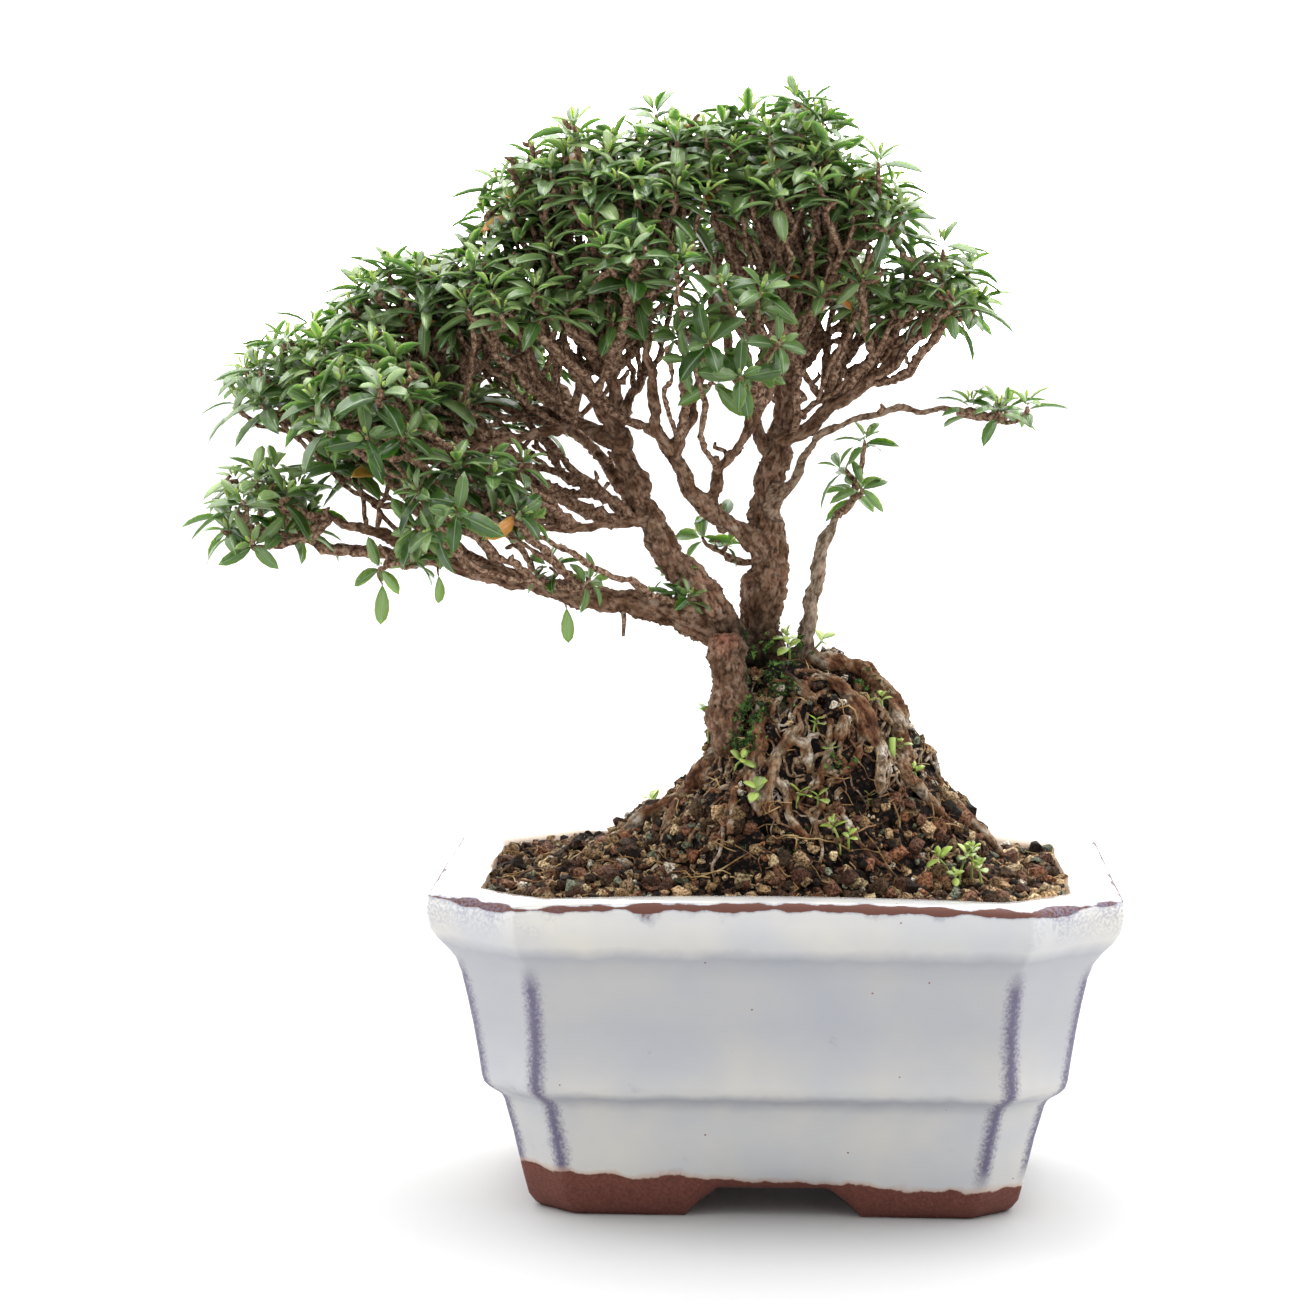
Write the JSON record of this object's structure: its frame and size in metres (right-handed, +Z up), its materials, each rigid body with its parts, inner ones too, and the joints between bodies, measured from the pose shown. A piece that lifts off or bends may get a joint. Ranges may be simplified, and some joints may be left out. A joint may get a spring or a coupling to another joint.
{
  "type": "serissa bonsai",
  "caption": "Potted bonsai: roots clasping a soil mound, forked trunk and one-sided crown of small leaf whorls, in a glazed rectangular pot with cut corners on low feet.",
  "frame": {"origin": "on the table, under the middle of the whole bonsai's bounding box", "axes": "+Z up from the table, +X along the pot's long side towards its right end, +Y to the back, so the front faces -Y"},
  "size_m": [0.2214, 0.1306, 0.2642],
  "materials": {
    "glaze": "cream-white glaze, brown where thin, on reddish stoneware",
    "soil": "dark gritty soil",
    "bark": "rough grey-brown bark",
    "leaf": "satin green leaves with paler margins",
    "sprout": "bright green young leaves",
    "net": "dark plastic mesh"
  },
  "bodies": {
    "root": {"pot": "glaze", "net_left": "net", "net_right": "net", "soil": "soil", "wood": "bark", "seedling_front": "sprout", "seedling_right": "sprout", "spray_back_left_1": "leaf", "spray_back_left_2": "leaf", "spray_back_right_1": "leaf", "spray_back_right_2": "leaf", "spray_drop_1": "leaf", "spray_drop_2": "leaf", "spray_far_left_1": "leaf", "spray_far_left_2": "leaf", "spray_front_1": "leaf", "spray_front_2": "leaf", "spray_front_3": "leaf", "spray_front_left_1": "leaf", "spray_front_left_2": "leaf", "spray_heart_1": "leaf", "spray_inner_low_1": "leaf", "spray_low_front_1": "leaf", "spray_low_front_2": "leaf", "spray_low_left_1": "leaf", "spray_low_left_2": "leaf", "spray_low_mid_1": "leaf", "spray_low_tuft_1": "leaf", "spray_middle_1": "leaf", "spray_middle_2": "leaf", "spray_peak_1": "leaf", "spray_peak_2": "leaf", "spray_peak_left_1": "leaf", "spray_peak_left_2": "leaf", "spray_right_1": "leaf", "spray_right_2": "leaf", "spray_right_dome_1": "leaf", "spray_right_dome_2": "leaf", "spray_right_inner_1": "leaf", "spray_right_tip_1": "leaf", "spray_shoulder_1": "leaf", "spray_shoulder_2": "leaf", "spray_shoulder_3": "leaf", "spray_stem_1": "leaf", "spray_top_1": "leaf", "spray_top_2": "leaf", "spray_top_3": "leaf", "spray_top_4": "leaf", "spray_tuft_1": "leaf", "spray_upper_left_1": "leaf", "spray_upper_left_2": "leaf", "spray_upper_left_3": "leaf"}
  },
  "joints": []
}
